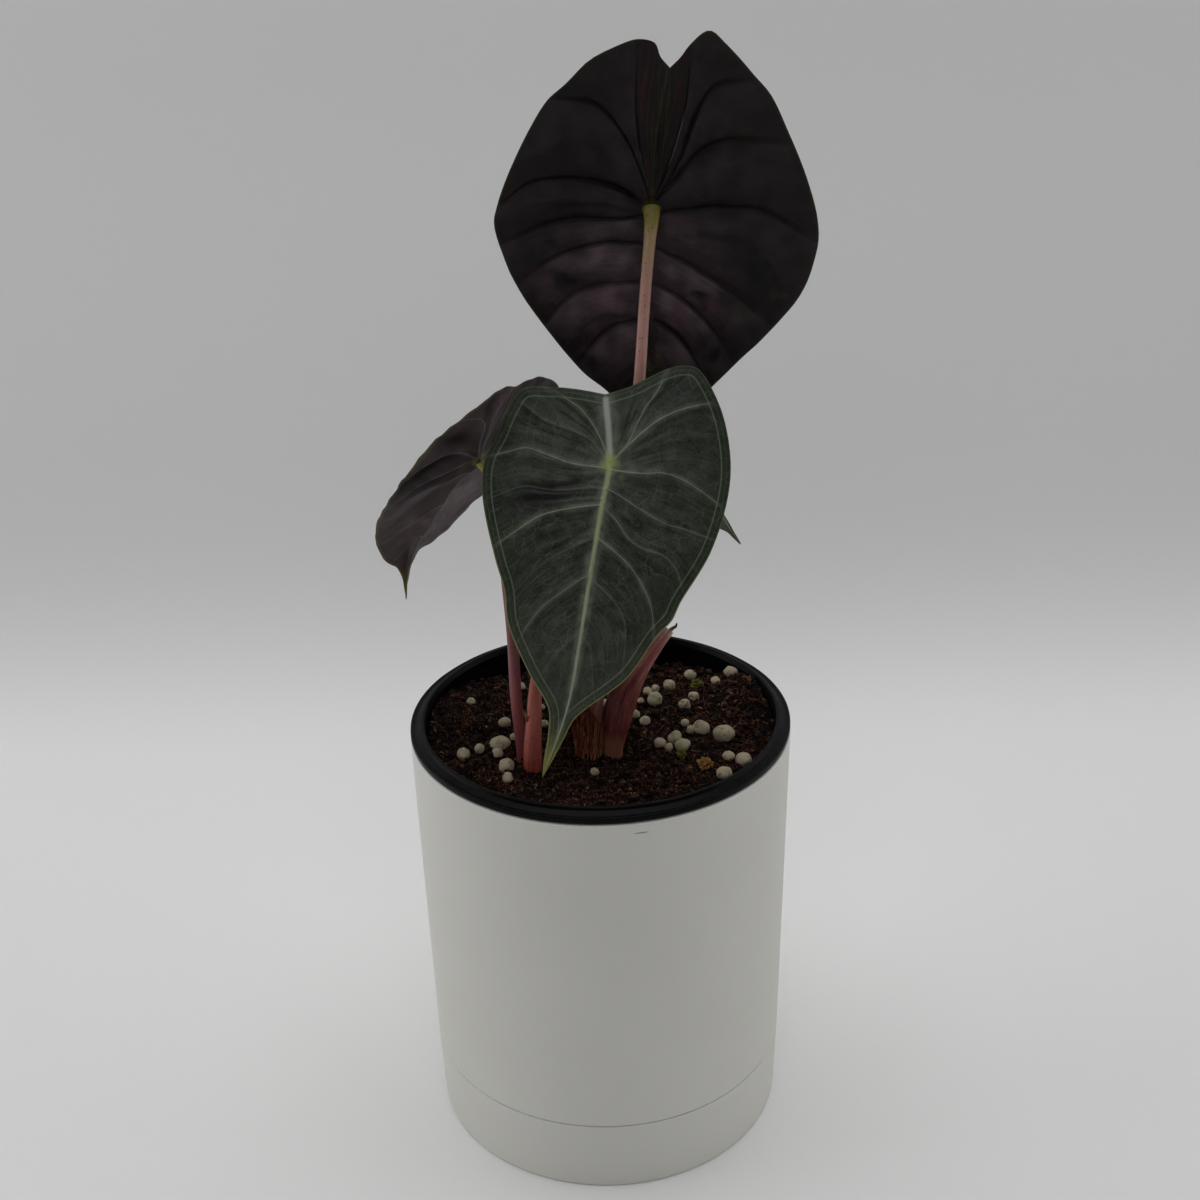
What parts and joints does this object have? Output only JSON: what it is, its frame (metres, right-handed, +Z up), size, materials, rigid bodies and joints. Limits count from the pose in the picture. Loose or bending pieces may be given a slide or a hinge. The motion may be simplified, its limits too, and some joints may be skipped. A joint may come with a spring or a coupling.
{
  "type": "potted aroid house plant",
  "caption": "Small aroid house plant with broad heart-shaped leaves on thin pink stalks, in a round nursery pot hung in a plain white cylinder planter with a flush saucer.",
  "frame": {"origin": "centre of the saucer's flat underside, on the surface that the planter stands on", "axes": "+Z up along the planter's axis, -Y towards the front of the plant, +X to the right of someone who looks at its front"},
  "size_m": [0.1267, 0.1142, 0.3342],
  "materials": {
    "white_planter": "matte",
    "black_pot": "satin",
    "potting_mix": "matte",
    "rhizome": "matte",
    "leaf_underside_purple": "satin",
    "leaf_upper_green": "satin",
    "leaf_pale_purple": "satin",
    "leaf_dark_green": "satin",
    "stalk_pink": "satin",
    "stalk_red": "satin",
    "dry_sheath": "matte"
  },
  "bodies": {
    "root": {"saucer": "white_planter", "planter": "white_planter", "nursery_pot": "black_pot", "soil": "potting_mix", "rhizome": "rhizome", "tall_leaf_petiole": "stalk_pink", "front_leaf_petiole": "stalk_red", "left_leaf_petiole": "stalk_pink", "rear_leaf_petiole": "stalk_pink", "cut_stub": "stalk_red", "dry_sheath_left": "dry_sheath", "dry_sheath_rear": "dry_sheath", "tall_leaf_blade": "leaf_underside_purple", "front_leaf_blade": "leaf_upper_green", "left_leaf_blade": "leaf_pale_purple", "rear_leaf_blade": "leaf_dark_green"}
  },
  "joints": []
}
